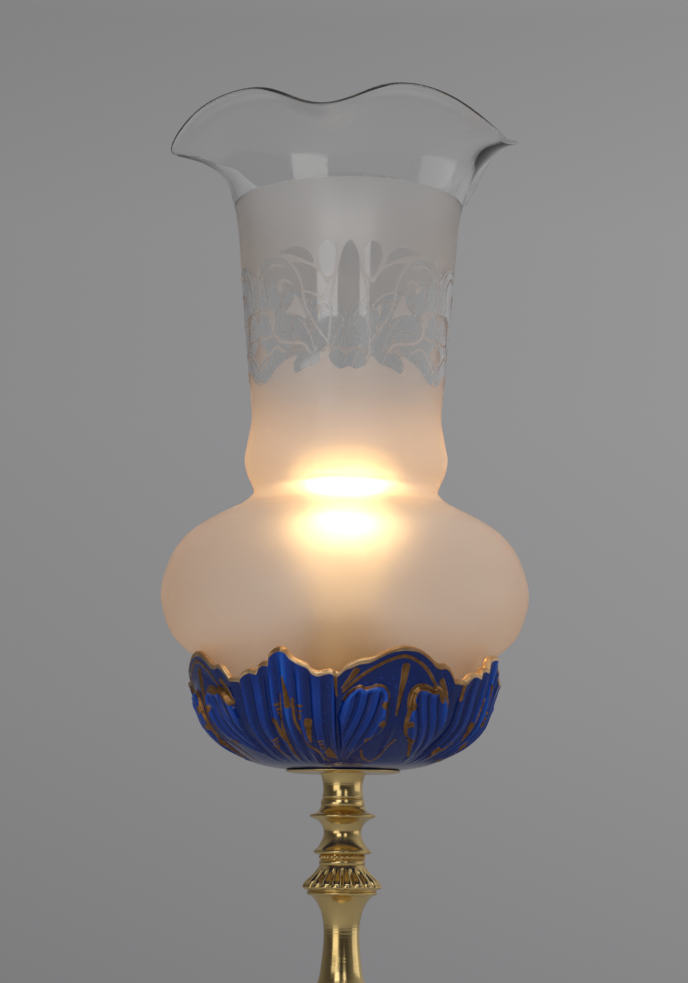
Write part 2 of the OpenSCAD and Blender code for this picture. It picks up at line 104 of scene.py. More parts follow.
def softbox(name, azimuth, distance, height, size, power, colour):
    """A rectangular soft light. Azimuth 0 is behind the camera, and + is to the right."""
    data = bpy.data.lights.new(name, "AREA")
    data.shape = "RECTANGLE"
    data.size, data.size_y = size
    data.energy = power
    data.color = colour
    obj = add_object(name, data)
    a = math.radians(azimuth)
    obj.location = (distance * math.sin(a), -distance * math.cos(a), height)
    aim_at(obj, (0, 0, 0.36))
    obj.visible_camera = False
    return obj


def make_surroundings():
    scene = bpy.context.scene
    scene.view_settings.view_transform = "Standard"
    scene.cycles.max_bounces = 16
    scene.cycles.transmission_bounces = 16
    scene.cycles.transparent_max_bounces = 16
    scene.cycles.caustics_refractive = True
    scene.cycles.sample_clamp_indirect = 40.0

    world = bpy.data.worlds.new("studio")
    scene.world = world
    world.use_nodes = True
    nodes, links = world.node_tree.nodes, world.node_tree.links
    nodes.clear()
    out = nodes.new("ShaderNodeOutputWorld")
    back = nodes.new("ShaderNodeBackground")
    levels = nodes.new("ShaderNodeValToRGB")
    split = nodes.new("ShaderNodeSeparateXYZ")
    coords = nodes.new("ShaderNodeTexCoord")
    product = nodes.new("ShaderNodeMath")
    product.operation = "MULTIPLY"

    def mapped(component, from_low, from_high, to_low, to_high):
        node = nodes.new("ShaderNodeMapRange")
        for key, value in (("From Min", from_low), ("From Max", from_high), ("To Min", to_low), ("To Max",
                                                                                                 to_high)):
            node.inputs[key].default_value = value
        links.new(split.outputs[component], node.inputs["Value"])
        return node.outputs["Result"]

    links.new(coords.outputs["Generated"], split.inputs[0])
    links.new(mapped("Z", -0.30, 0.70, 0.0, 1.0), levels.inputs["Fac"])
    # dimmer to the left and behind the camera
    links.new(mapped("X", -1.0, 1.0, 0.45, 1.55), product.inputs[0])
    links.new(mapped("Y", -0.85, 0.35, 0.11, 1.0), product.inputs[1])
    first, last = levels.color_ramp.elements
    first.position, first.color = 0.20, (0.208, 0.207, 0.213, 1)
    last.position, last.color = 1.0, (0.42, 0.42, 0.42, 1)
    for place, level in BACKGROUND_LEVELS:
        levels.color_ramp.elements.new(place).color = (level, level * 0.993, level * 1.015, 1)
    links.new(levels.outputs["Color"], back.inputs["Color"])
    links.new(product.outputs[0], back.inputs["Strength"])
    links.new(back.outputs["Background"], out.inputs["Surface"])

    side = FLOOR_REACH
    mesh = bpy.data.meshes.new("floor")
    mesh.from_pydata([(-side, -side, 0), (side, -side, 0), (side, side, 0), (-side, side, 0)], [], [(0, 1,
                                                                                                     2, 3)])
    floor = add_object("floor", mesh)
    paint = bpy.data.materials.new("floor")
    paint.use_nodes = True
    shader = paint.node_tree.nodes["Principled BSDF"]
    shader.inputs["Base Color"].default_value = (0.62, 0.62, 0.61, 1)
    shader.inputs["Roughness"].default_value = 0.7
    mesh.materials.append(paint)

    softbox("low_left", -38, LIGHT_DISTANCE, LOW_LIGHTS, (0.95, 0.44), 1.85, (1.0, 0.96, 0.90))
    softbox("low_right", 94, LIGHT_DISTANCE, LOW_LIGHTS, (1.2, 0.44), 1.0, (1.0, 0.96, 0.90))
    softbox("high_left", -22, LIGHT_DISTANCE, HIGH_LIGHTS, (0.62, 0.50), 1.9, (0.97, 0.98, 1.0))
    softbox("high_right", 18, LIGHT_DISTANCE, HIGH_LIGHTS, (0.29, 0.50), 0.75, (1.0, 0.98, 0.96))
    softbox("overhead", 0, 0.9, 1.7, (1.2, 0.8), 7.5, (0.98, 0.99, 1.0))


# ---------------------------------------------------------------- curves and meshes


def curve_through(points, spacing):
    """A smooth line through the points, in steps of about `spacing`, with no kink between its stretches."""
    p = np.asarray(points, float)
    d = np.maximum(np.linalg.norm(np.diff(p, axis=0), axis=1), 1e-9)
    slope = np.diff(p, axis=0) / d[:, None]
    tangent = np.empty_like(p)
    tangent[0], tangent[-1] = slope[0], slope[-1]
    if len(p) > 2:
        w = d[:-1] / (d[:-1] + d[1:])
        tangent[1:-1] = slope[:-1] * (1 - w)[:, None] + slope[1:] * w[:, None]
    rows = []
    for i in range(len(p) - 1):
        n = max(1, int(math.ceil(d[i] / spacing)))
        t = (np.arange(n) / n)[:, None]
        a, b = tangent[i] * d[i], tangent[i + 1] * d[i]
        rows.append((2 * t**3 - 3 * t**2 + 1) * p[i] + (t**3 - 2 * t**2 + t) * a
                    + (-2 * t**3 + 3 * t**2) * p[i + 1] + (t**3 - t**2) * b)
    rows.append(p[-1:])
    return np.concatenate(rows)


def joined(*stretches):
    """One line from stretches that meet at corners."""
    out = [stretches[0]]
    for s in stretches[1:]:
        out.append(s[1:] if np.allclose(out[-1][-1], s[0]) else s)
    return np.concatenate(out)


def arc(cx, cy, r, start, end, steps):
    a = np.radians(np.linspace(start, end, steps + 1))
    return np.stack([cx + r * np.cos(a), cy + r * np.sin(a)], axis=1)


def normals_of(line):
    """Unit vectors to the right of the line's direction: outward on an outline drawn upward."""
    t = np.gradient(line, axis=0)
    t /= np.maximum(np.linalg.norm(t, axis=1), 1e-12)[:, None]
    return np.stack([t[:, 1], -t[:, 0]], axis=1)


def ramp(x):
    c = np.clip(x, 0, 1)
    return c * c * (3 - 2 * c)


def turn_from(a, b):
    """The angle from b to a in degrees, from -180 to 180."""
    return (a - b + 180) % 360 - 180


def grid_mesh(name, points, attributes=None):
    """A mesh from points[i, j]: i goes round the axis and j along the outline, and both close."""
    n, m, _ = points.shape
    mesh = bpy.data.meshes.new(name)
    i = np.arange(n)[:, None]
    j = np.arange(m)[None, :]
    i2, j2 = (i + 1) % n, (j + 1) % m
    quads = np.stack(np.broadcast_arrays(i * m + j, i2 * m + j, i2 * m + j2, i * m + j2),
                     axis=-1).reshape(-1, 4)
    mesh.vertices.add(n * m)
    mesh.vertices.foreach_set("co", points.reshape(-1).astype(np.float32))
    mesh.loops.add(len(quads) * 4)
    mesh.loops.foreach_set("vertex_index", quads.reshape(-1).astype(np.int32))
    mesh.polygons.add(len(quads))
    mesh.polygons.foreach_set("loop_start", (np.arange(len(quads)) * 4).astype(np.int32))
    mesh.polygons.foreach_set("loop_total", np.full(len(quads), 4, np.int32))
    mesh.update(calc_edges=True)
    mesh.shade_smooth()
    for key, values in (attributes or {}).items():
        layer = mesh.attributes.new(key, "FLOAT", "POINT")
        layer.data.foreach_set("value", np.ascontiguousarray(values, dtype=np.float32).reshape(-1))
    return mesh


def around(outline, steps, phase=0.0):
    """Sweeps an outline of (radius, height) in mm round the axis."""
    a = np.radians(np.arange(steps) * 360.0 / steps + phase)
    r, z = outline[:, 0][None, :], outline[:, 1][None, :]
    return np.stack(np.broadcast_arrays(r * np.sin(a)[:, None], -r * np.cos(a)[:, None], z), axis=-1) * MM


def lathe(name, outline, body, node, material, steps=192):
    mesh = grid_mesh(name, around(outline, steps))
    obj = add_object(name, mesh)
    mesh.materials.append(material)
    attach(obj, body)
    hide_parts(node)
    return obj


# ---------------------------------------------------------------- materials


class Shader:
    """Builds one node material. Constant values go straight onto the Principled sockets."""

    def __init__(self, name):
        self.material = bpy.data.materials.new(name)
        self.material.use_nodes = True
        self.nodes = self.material.node_tree.nodes
        self.links = self.material.node_tree.links
        self.bsdf = self.nodes["Principled BSDF"]
        self.coords = self.nodes.new("ShaderNodeTexCoord").outputs["Object"]

    def set(self, **values):
        for key, value in values.items():
            self.bsdf.inputs[key.replace("_", " ")].default_value = value
        return self

    def drive(self, socket, output):
        self.links.new(output, self.bsdf.inputs[socket])
        return self

    def noise(self, scale, detail=3.0, roughness=0.5, stretch=(1, 1, 1)):
        mapping = self.nodes.new("ShaderNodeMapping")
        mapping.inputs["Scale"].default_value = stretch
        self.links.new(self.coords, mapping.inputs["Vector"])
        node = self.nodes.new("ShaderNodeTexNoise")
        node.inputs["Scale"].default_value = scale
        node.inputs["Detail"].default_value = detail
        node.inputs["Roughness"].default_value = roughness
        self.links.new(mapping.outputs["Vector"], node.inputs["Vector"])
        return node.outputs["Fac"]

    def attribute(self, name):
        node = self.nodes.new("ShaderNodeAttribute")
        node.attribute_name = name
        return node.outputs["Fac"]

    def span(self, value, low, high, start=0.0, end=1.0):
        node = self.nodes.new("ShaderNodeMapRange")
        node.clamp = True
        node.inputs["From Min"].default_value = low
        node.inputs["From Max"].default_value = high
        node.inputs["To Min"].default_value = start
        node.inputs["To Max"].default_value = end
        self.links.new(value, node.inputs["Value"])
        return node.outputs["Result"]

    def mix(self, factor, first, second):
        node = self.nodes.new("ShaderNodeMix")
        node.data_type = "RGBA"
        self.links.new(factor, node.inputs[0])
        for socket, value in ((node.inputs[6], first), (node.inputs[7], second)):
            if isinstance(value, tuple):
                socket.default_value = (*value, 1.0) if len(value) == 3 else value
            else:
                self.links.new(value, socket)
        return node.outputs[2]

    def maths(self, operation, first, second):
        node = self.nodes.new("ShaderNodeMath")
        node.operation = operation
        for socket, value in ((node.inputs[0], first), (node.inputs[1], second)):
            if isinstance(value, (int, float)):
                socket.default_value = value
            else:
                self.links.new(value, socket)
        return node.outputs[0]

    def bump(self, height, strength, distance):
        node = self.nodes.new("ShaderNodeBump")
        node.inputs["Strength"].default_value = strength
        node.inputs["Distance"].default_value = distance
        self.links.new(height, node.inputs["Height"])
        self.links.new(node.outputs["Normal"], self.bsdf.inputs["Normal"])
        return self


def polished_brass():
    s = Shader("polished_brass").set(Metallic=1.0)
    stain = s.noise(38, 5, 0.6)
    rings = s.noise(9, 2, 0.5, (6, 6, 160))
    tone = s.mix(s.span(stain, 0.35, 0.72), (0.78, 0.59, 0.27), (0.64, 0.44, 0.165))
    s.drive("Base Color", tone)
    s.drive("Roughness", s.span(s.maths("ADD", stain, rings), 0.6, 1.5, 0.13, 0.28))
    s.bump(s.maths("ADD", rings, s.maths("MULTIPLY", s.noise(420, 2), 0.35)), 0.10, 0.0004)
    return s.material


def plain_brass(name="spun_brass", rough=0.32):
    s = Shader(name).set(Metallic=1.0)
    stain = s.noise(55, 4)
    s.drive("Base Color", s.mix(stain, (0.72, 0.52, 0.24), (0.50, 0.34, 0.14)))
    s.drive("Roughness", s.span(stain, 0.3, 0.7, rough - 0.08, rough + 0.1))
    s.bump(s.noise(300, 2), 0.15, 0.0003)
    return s.material


def speckled(name, first, second, rough, metallic=0.0, scale=120, bump=0.2, coat=0.0):
    s = Shader(name).set(Metallic=metallic)
    if coat:
        s.set(Coat_Weight=coat)
    grain = s.noise(scale, 4)
    s.drive("Base Color", s.mix(grain, first, second))
    s.drive("Roughness", s.span(grain, 0.3, 0.7, rough - 0.06, rough + 0.08))
    s.bump(s.noise(scale * 4, 2), bump, 0.0004)
    return s.material


def porcelain_and_gold():
    s = Shader("porcelain_and_gold")
    gilt = s.attribute("gilt")
    wear = s.noise(210, 5, 0.65)
    patch = s.noise(42, 3)
    worn = s.span(s.maths("SUBTRACT", gilt, s.maths("MULTIPLY", s.span(wear, 0.50, 0.78), 0.55)), 0.28, 0.52)
    depth = s.attribute("depth")
    blue = s.mix(s.span(patch, 0.3, 0.7), (0.003, 0.070, 0.520), (0.002, 0.052, 0.410))
    # painted shade: the blue darkens towards the bottom of the bowl and a little on its inner wall
    blue = s.mix(depth, blue, (0.001, 0.030, 0.250))
    ridge = s.attribute("ridge")
    # hollows of the relief are darker blue: glaze that pools there, and painted shade
    blue = s.mix(s.span(ridge, 0.15, 0.62), (0.001, 0.020, 0.170), blue)
    # the highest ridges are lighter blue: glaze that thins there, and a painted highlight
    blue = s.mix(s.span(ridge, 0.60, 1.0, 0.0, 0.75), blue, (0.018, 0.170, 0.80))
    blue = s.mix(s.span(s.noise(700, 2), 0.62, 0.80), blue, (0.010, 0.080, 0.480))
    gold = s.mix(s.span(wear, 0.35, 0.65), (0.34, 0.175, 0.060), (0.15, 0.070, 0.026))
    bright = s.mix(s.span(s.noise(75, 4), 0.38, 0.62), (0.80, 0.55, 0.30), (0.46, 0.25, 0.10))
    gold = s.mix(s.attribute("rim"), gold, bright)
    s.drive("Base Color", s.mix(worn, blue, gold))
    s.drive("Metallic", s.maths("MULTIPLY", worn, 0.85))
    s.drive("Roughness", s.span(worn, 0, 1, 0.13, 0.36))
    s.set(IOR=1.5, Specular_IOR_Level=0.4)
    s.bump(s.maths("ADD", s.maths("MULTIPLY", wear, 0.30), s.maths("MULTIPLY", worn, 0.8)), 0.22, 0.0006)
    return s.material


def shade_glass():
    s = Shader("shade_glass")
    frost = s.attribute("frost")
    glow = s.attribute("glow")
    cloud = s.noise(30, 4, 0.55)
    streak = s.noise(60, 3, 0.6, (1.0, 1.0, 0.28))
    s.set(IOR=1.47)
    s.drive("Base Color", s.mix(frost, (0.985, 0.99, 0.985), (0.975, 0.955, 0.935)))
    s.drive("Transmission Weight", s.span(frost, 0, 1, 1.0, 0.86))
    grain = s.span(cloud, 0.3, 0.7, 0.44, 0.50)
    s.drive("Roughness", s.maths("ADD", s.maths("MULTIPLY", frost, grain), 0.012))
    lit = s.maths("MULTIPLY", glow, s.span(streak, 0.2, 0.8, 0.93, 1.07))
    s.drive("Emission Strength", lit)
    s.set(Emission_Color=(1.0, 0.49, 0.17, 1.0))
    s.bump(s.maths("MULTIPLY", frost, s.noise(900, 2)), 0.06, 0.0002)
    return s.material


def pearl_bulb():
    s = Shader("pearl_bulb")
    soft = s.noise(25, 2)
    s.drive("Base Color", s.mix(soft, (0.98, 0.96, 0.92), (0.94, 0.91, 0.86)))
    s.set(Transmission_Weight=1.0, IOR=1.3, Emission_Color=(1.0, 0.62, 0.27, 1.0))
    s.drive("Roughness", s.span(soft, 0.3, 0.7, 0.40, 0.46))
    s.drive("Emission Strength", s.span(s.attribute("hot"), 0, 1, 0.10, 0.45))
    return s.material


def glowing_wire():
    s = Shader("glowing_wire").set(Metallic=1.0, Roughness=0.4, Emission_Color=(1.0, 0.66, 0.30, 1.0))
    s.drive("Base Color", s.mix(s.noise(400), (0.6, 0.5, 0.4), (0.4, 0.34, 0.3)))
    s.drive("Emission Strength", s.span(s.noise(300), 0.3, 0.7, 52.0, 60.0))
    return s.material


def clear_glass():
    s = Shader("clear_glass").set(Transmission_Weight=1.0, IOR=1.47)
    s.drive("Base Color", s.mix(s.noise(80), (0.97, 0.99, 0.98), (0.93, 0.96, 0.95)))
    s.drive("Roughness", s.span(s.noise(200), 0.3, 0.7, 0.02, 0.06))
    return s.material


# ---------------------------------------------------------------- painted lines on a curved wall


def distance_to_line(x, y, points):
    """Distance of each (x, y) from a polyline, and how far along it the nearest point is, 0 to 1."""
    p = np.asarray(points, float)
    lengths = np.linalg.norm(np.diff(p, axis=0), axis=1)
    total = max(lengths.sum(), 1e-9)
    best = np.full(x.shape, 1e9)
    along = np.zeros(x.shape)
    start = 0.0
    for (ax, ay), (bx, by), length in zip(p[:-1], p[1:], lengths):
        t = np.clip(((x - ax) * (bx - ax) + (y - ay) * (by - ay)) / max(length**2, 1e-9), 0, 1)
        d = np.hypot(x - ax - t * (bx - ax), y - ay - t * (by - ay))
        nearer = d < best
        best = np.where(nearer, d, best)
        along = np.where(nearer, (start + t * length) / total, along)
        start += length
    return best, along


def stroke(x, y, points, width, end_width=None, soft=0.25):
    """A brush stroke: 1 inside, 0 outside. The width goes from `width` to `end_width` along it."""
    end_width = width if end_width is None else end_width
    d, t = distance_to_line(x, y, points)
    half = 0.5 * (width + (end_width - width) * t)
    return ramp((half + soft - d) / (2 * soft))


def inside(x, y, points):
    """True where (x, y) is inside the closed outline."""
    p = np.asarray(points, float)
    result = np.zeros(x.shape, bool)
    for (ax, ay), (bx, by) in zip(p, np.roll(p, -1, axis=0)):
        crosses = (ay > y) != (by > y)
        with np.errstate(divide="ignore", invalid="ignore"):
            side = x < (bx - ax) * (y - ay) / (by - ay if by != ay else 1e-12) + ax
        result ^= crosses & side
    return result


def depth_inside(x, y, points):
    """Signed distance from a closed outline: + inside."""
    closed = np.vstack([points, points[:1]])
    d, _ = distance_to_line(x, y, closed)
    return np.where(inside(x, y, points), d, -d)


# ---------------------------------------------------------------- shade

GLASS = 2.2
RIM_CREST = 298.5
FROST_TOP = 261.7
# the five crimps of the rim: direction, drop and outward push in mm, half width
CRIMPS = ((-90, 10.0, 6.8, 22), (-8, 11.5, 4.0, 16), (64, 14.0, 5.0, 23), (138, 19.5, 4.0, 15), (214, 15.0,
                                                                                                 4.0, 18))
CRIMP_START = 272.0
BULB_HEIGHT = 119.0
BAND_LOW, BAND_HIGH = 174.0, 236.0
GLOW_AT_BULGE = 0.115
BEAD_FROST = 0.3
BULGE_REACH = 84.0

SHADE_BODY = [(50, 21.2), (50, 33), (56, 39.5), (66.2, 49.4), (71.6, 53.6), (77, 58.6), (81.9, 68.2), (83.9,
                                                                                                       79),
              (81.6, 90.6), (77.8, 99), (71.9, 106.2), (63.3, 112.3), (55, 116.7), (48.3, 120.2), (44.3,
                                                                                                   123.4),
              (42.3, 126.5), (43.3, 130), (45.4, 134.6), (46.8, 141.1), (45.6, 149.4), (43.9, 160.8), (44.4,
                                                                                                       170.2)]
SHADE_BAND = [(44.4, 170.2), (45.9, 184.4), (48.4, 212), (50.3, 237.8)]
SHADE_TOP = [(50.3, 237.8), (51.6, 251.3), (53.2, 261.4), (55.2, 268), (57.6, 275), (61.4, 282.5), (67.2,
                                                                                                    290),
             (76.1, 297.9)]


def crimp(direction, height):
    """How far the rim is pushed out and pulled down, in mm."""
    out = np.zeros(np.broadcast(direction, height).shape)
    down = out.copy()
    reach = np.clip((height - CRIMP_START) / (RIM_CREST - CRIMP_START), 0, None) ** 2
    for centre, drop, push, width in CRIMPS:
        near = np.exp(-((turn_from(direction, centre) / width) ** 2)) * reach
        out += push * near
        down += drop * near
    return out, down


def closed_curve(points):
    """A smooth closed outline through the points."""
    n = len(points)
    line = curve_through(list(points[-2:]) + list(points) + list(points[:2]), 1.0)
    first = np.argmin(np.hypot(*(line - points[0]).T))
    last = len(line) - 1 - np.argmin(np.hypot(*(line[::-1] - points[0]).T))
    return line[first:last] if last > first + n else line


# clear shapes right of a palmette's centre: (mm round the neck, mm above the pan)
LEAVES = [(-3, 176.4), (0, 177.0), (3.4, 175.9), (7.2, 177.4), (9.2, 180.6), (9.9, 181.9), (14.8, 178.7),
          (20.4, 177.2),
          (26.5, 175.3), (27.2, 179.0), (25.2, 182.6), (31.1, 181.5), (37.2, 178.5), (43.2, 174.4), (48.2,
                                                                                                     172.9),
          (49.8, 176.3), (48.6, 181.8), (43.7, 185.9), (47.6, 190.9), (49.9, 197.6), (48.0, 202.6), (45.1,
                                                                                                     206.0),
          (49.9, 206.0), (49.9, 219.6), (47.1, 225.0), (43.6, 227.6), (39.5, 228.6), (34.8, 228.0), (30.4,
                                                                                                     227.0),
          (27.2, 225.1), (21.6, 224.1), (16.0, 221.6), (12.4, 217.8), (10.4, 214.3), (7.9, 215.9), (4.9,
                                                                                                    219.3),
                                                                                                    (-3,
                                                                                                     219.3)]
MIDDLE_LOBE = [(-5.0, 218), (-4.4, 224), (-2.8, 229.6), (0, 233.6), (2.8, 229.6), (4.4, 224), (5.0, 218)]
SIDE_LOBE = [(5.8, 227.3), (6.9, 231.2), (9.2, 233.3), (11.9, 232.9), (13.8, 229.8), (13.9, 224.6), (12.4,
                                                                                                     220.6),
             (10.4, 217.2), (8.0, 217.9), (6.2, 222.6)]
CREST_LEAF = [(16.0, 223.7), (17.4, 227.9), (20.4, 230.5), (24.5, 231.8), (28.9, 231.3), (33.3, 229.9),
              (27.6, 228.8),
              (22.3, 226.6)]
GAPS = [[(25.2, 210.6), (22.3, 205.6), (19.9, 198.9), (24.2, 201.0), (30.4, 202.6), (27.4, 205.3)],
        [(36.4, 202.3), (42.7, 206.3), (45.6, 205.7), (41.4, 201.7), (39.2, 196.9), (37.6, 199.1)]]
FROST_LINES = [
    ([(28.9, 226.6), (24.5, 221.1), (21.8, 214.7), (20.7, 207.2), (18.2, 200.3), (13.9, 193.3), (9.8,
                                                                                                 188.0)],
                                                                                                 1.5, 0.4),
    ([(32.1, 223.9), (36.4, 224.8), (41.4, 222.6), (44.3, 218.5), (44.9, 213.4), (42.6, 209.2)], 1.7, 0.4),
    ([(26.7, 214.5), (28.6, 216.6), (31.8, 216.9), (33.6, 215.4), (32.7, 213.3)], 0.7, 3.0),
    ([(42.6, 227.6), (46.8, 222.6), (48.6, 215.1), (48.8, 207.0)], 1.2, 0.6),
    ([(5.6, 227.3), (6.2, 218.2), (8.4, 209.1), (8.3, 200.0), (9.3, 190.9), (9.9, 182.3)], 1.1, 0.4),
    ([(10.1, 203.4), (13.0, 207.5), (16.6, 209.9), (20.7, 211.2)], 0.5, 0.9),
    ([(18.2, 183.1), (21.6, 187.6), (28.2, 188.7), (34.8, 190.6), (38.4, 195.2), (37.6, 199.1)], 0.7, 1.7),
    ([(13.6, 204.1), (13.8, 201.2), (13.3, 198.7)], 1.8, 0.3),
    ([(31.8, 185.0), (37.2, 187.7), (43.2, 183.6), (47.7, 178.8)], 0.8, 1.3),
    ([(38.8, 193.5), (42.3, 192.6), (49.3, 193.8)], 1.4, 0.9),
    ([(16.0, 184.2), (18.5, 192.3), (23.6, 199.4)], 0.5, 0.3),
]
# thin slanting cuts, which aren't mirrored: (start, end)
CUTS = [((-6.5, 219), (-12.5, 208)), ((-2.0, 199), (-9.5, 183)), ((8.5, 211), (2.0, 199)), ((12.8, 205),
                                                                                            (1.5, 176.5)),
        ((20.5, 206), (8.0, 180)), ((24.5, 195), (15.5, 178)), ((-13.5, 213), (-17.5, 205)), ((-11.0, 197),
                                                                                              (-18.5, 178)),
        ((33, 190), (27.5, 178)), ((-30, 208), (-33.5, 196)), ((-35, 222), (-41, 205)), ((-22.5, 205),
                                                                                         (-19.5, 192))]
PALMETTE_TURN = 1.0


def band_pattern(direction, height):
    """The clear pattern in the frosted ground: 1 on clear glass. Three palmettes stand round the neck."""
    flat = np.radians((turn_from(direction, PALMETTE_TURN) + 60) % 120 - 60) * 47.5 + 0 * height
    x, y = np.abs(flat), height + 0 * direction
    mask = np.zeros(x.shape)
    soft = 0.22
    for outline in (LEAVES, MIDDLE_LOBE, SIDE_LOBE, CREST_LEAF):
        mask = np.maximum(mask, ramp(depth_inside(x, y, closed_curve(outline)) / (2 * soft) + 0.5))
    for outline in GAPS:
        mask = mask * (1 - ramp(depth_inside(x, y, closed_curve(outline)) / (2 * soft) + 0.5))
    for points, start, end in FROST_LINES:
        mask = mask * (1 - stroke(x, y, curve_through(points, 1.0), start, end, soft))
    for start, end in CUTS:
        mask = mask * (1 - 0.6 * stroke(flat, y, np.array([start, end]), 0.15, 0.5, 0.16))
    # fine hatching inside the leaves
    hatch = np.cos(2 * math.pi * (flat * 0.42 + 0.06 * y + np.sin(y * 0.11) * 0.8)) ** 20
    return mask * (1 - 0.22 * hatch * ramp((x - 9) / 3))


def shade_outline():
    return joined(curve_through(SHADE_BODY, 0.9), curve_through(SHADE_BAND, 0.42), curve_through(SHADE_TOP,
                                                                                                 0.8))


def make_shade():
    steps = 720
    outer = shade_outline()
    out = normals_of(outer)
    thick = GLASS + 0.7 * ramp((outer[:, 1] - (RIM_CREST - 4)) / 3.0)
    inner_full = outer - out * thick[:, None]
    inner = inner_full[::3][::-1]
    mid = (outer[-1] + inner_full[-1]) / 2
    half = outer[-1] - mid
    up = np.array([-half[1], half[0]])
    bead = np.array([mid + half * math.cos(a) + up * math.sin(a) for a in np.radians(np.arange(20, 180, 20))])
    if up[1] < 0:
        bead = np.array([mid + half * math.cos(a) - up * math.sin(a) for a in np.radians(np.arange(20, 180,
                                                                                                   20))])
    loop = np.concatenate([outer, bead, inner])
    count = len(outer)
    directions = (np.arange(steps) * 360.0 / steps)[:, None]
    r, h = loop[:, 0][None, :], loop[:, 1][None, :]
    push, drop = crimp(directions, h)
    rr, hh = r + push, h - drop
    a = np.radians(directions)
    points = np.stack([rr * np.sin(a), -rr * np.cos(a), hh + PAN_Z / MM], axis=-1) * MM

    frost = np.zeros(points.shape[:2])
    oh = h[:, :count]
    frost[:, :count] = ramp((FROST_TOP + 0.25 - oh) / 0.5) + 0 * directions
    frost[:, count - 2:count + len(bead)] = BEAD_FROST
    band = (oh[0] > BAND_LOW - 2) & (oh[0] < BAND_HIGH + 2)
    frost[:, :count][:, band] *= 1 - 0.97 * band_pattern(directions, oh[:, band])
    # light from the bulb that the frosted skin scatters: it falls off with distance and with a slanting ray
    away = np.stack([rr, hh - BULB_HEIGHT], axis=-1)
    distance = np.linalg.norm(away, axis=-1)
    skin_normal = np.zeros((len(loop), 2))
    skin_normal[:count - 2] = out[:-2]
    slant = np.clip((away * skin_normal[None, :, :]).sum(-1) / distance, 0.02, 1)
    glow = GLOW_AT_BULGE * (slant * BULGE_REACH**2 / distance**2) ** 0.55
    glow *= frost * (1 - 0.55 * ramp((hh - 150) / 100))
    obj = add_object("etched_shade", grid_mesh("etched_shade", points, {"frost": frost, "glow": glow}))
    obj.data.materials.append(shade_glass())
    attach(obj, "shade")
    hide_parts("shade")


# ---------------------------------------------------------------- bowl

BOWL_WALL = [(25, 0), (37.5, 2.2), (48, 6.5), (56.6, 11.6), (63, 18), (66.9, 27), (69.3, 36.1), (70.7, 43),
             (71.5, 50)]
BOWL_TIP = 50.0
BOWL_THICK = 2.6
SHELL_CENTRE, SHELL_HALF = -21.7, 18.8
ARCH_CENTRE = 21.3
# rim heights along each leaf: (degrees from its centre, mm above the pan)
SHELL_RIM = [(-18.8, 36.9), (-16.4, 39.6), (-13.4, 40.6), (-10.4, 39.8), (-9.2, 42.4), (-7.4, 43.4), (-5.6,
                                                                                                      43.2),
             (-4.8, 46.6), (-3.0, 48.6), (-0.6, 49.3), (1.4, 48.2), (2.6, 45.9), (4.7, 44.0), (7.0, 42.6),
             (8.8, 41.8),
             (10.3, 39.8), (12.4, 38.6), (15.0, 39.2), (17.0, 39.5), (18.8, 38.4)]
ARCH_RIM = [(-23.2, 38.4), (-20.8, 41.0), (-18.6, 42.3), (-15.6, 43.9), (-12.3, 44.5), (-9.1, 46.2), (-6,
                                                                                                      48.0),
            (-3.0, 49.3), (0.4, 50.0), (3.6, 49.7), (6.5, 48.6), (10.1, 46.2), (13.2, 43.6), (15.2, 43.0),
            (17.2, 43.3),
            (19.0, 42.2), (20.7, 40.2), (22.9, 36.9)]


def leaf_angles(direction):
    """Degrees from the nearest shell leaf's centre and from the nearest arched leaf's centre."""
    shell = (direction - SHELL_CENTRE + 45) % 90 - 45
    arch = (direction - ARCH_CENTRE + 45) % 90 - 45
    return shell, arch


def rim_height(direction):
    shell, arch = leaf_angles(direction)
    s = curve_through(SHELL_RIM, 0.5)
    a = curve_through(ARCH_RIM, 0.5)
    over = np.abs(shell) <= SHELL_HALF
    return np.where(over, np.interp(shell, s[:, 0], s[:, 1]), np.interp(arch, a[:, 0], a[:, 1]))


class Wall:
    """Maps (degrees, height) on the bowl's wall to flat (x, y) in mm, so that lines keep their width."""

    def __init__(self):
        self.line = curve_through(BOWL_WALL, 0.5)
        steps = np.linalg.norm(np.diff(self.line, axis=0), axis=1)
        self.length = np.concatenate([[0], np.cumsum(steps)])

    def flat(self, degrees, height):
        r = np.interp(height, self.line[:, 1], self.line[:, 0])
        return np.radians(degrees) * r, np.interp(height, self.line[:, 1], self.length)

    def path(self, points, spacing=1.0):
        p = np.array([self.flat(a, h) for a, h in points])
        return curve_through(p, spacing)


def mirrored(points):
    return [(-a, h) for a, h in points]


# one rolled lobe on an arched leaf: its top edge, then its inner side down to the foot
LOBE_TOP = [(-21.3, 27.5), (-19.6, 30.2), (-17.4, 32.2), (-15.2, 33.2), (-13.4, 32.4), (-12.0, 32.8), (-9.6,
                                                                                                       33.8),
            (-6.8, 33.4), (-5.0, 31.4), (-4.4, 28.0), (-4.7, 25.0)]
LOBE_SIDE = [(-4.7, 25.0), (-4.4, 21.6), (-4.2, 18.6), (-5.0, 15.4), (-6.6, 13.0)]
LOBE_FOOT = [(-6.6, 13.0), (-9.6, 11.6), (-12.0, 9.2), (-14.5, 7.2), (-18.0, 5.0)]


